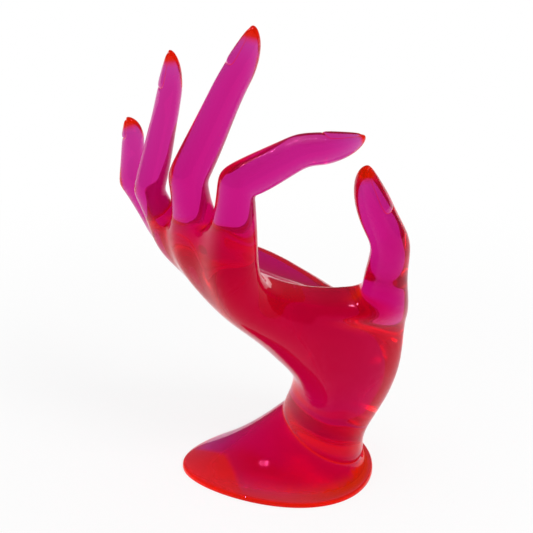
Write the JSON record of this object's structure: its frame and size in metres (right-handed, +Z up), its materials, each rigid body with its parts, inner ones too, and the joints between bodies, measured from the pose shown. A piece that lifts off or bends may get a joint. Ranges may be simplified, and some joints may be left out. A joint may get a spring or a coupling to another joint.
{
  "type": "hand jewelry stand",
  "caption": "Hand-shaped jewelry stand in clear tinted resin: an upright hand with thumb and index finger curved towards each other, on a flared oval foot.",
  "frame": {"origin": "middle of the foot's flat underside", "axes": "+Z up, +X the way the palm faces, -Y the side of the thumb and the index finger"},
  "size_m": [0.0953, 0.0649, 0.1683],
  "materials": {
    "tinted_resin": "gloss"
  },
  "bodies": {
    "root": {"hand_stand": "tinted_resin"}
  },
  "joints": []
}
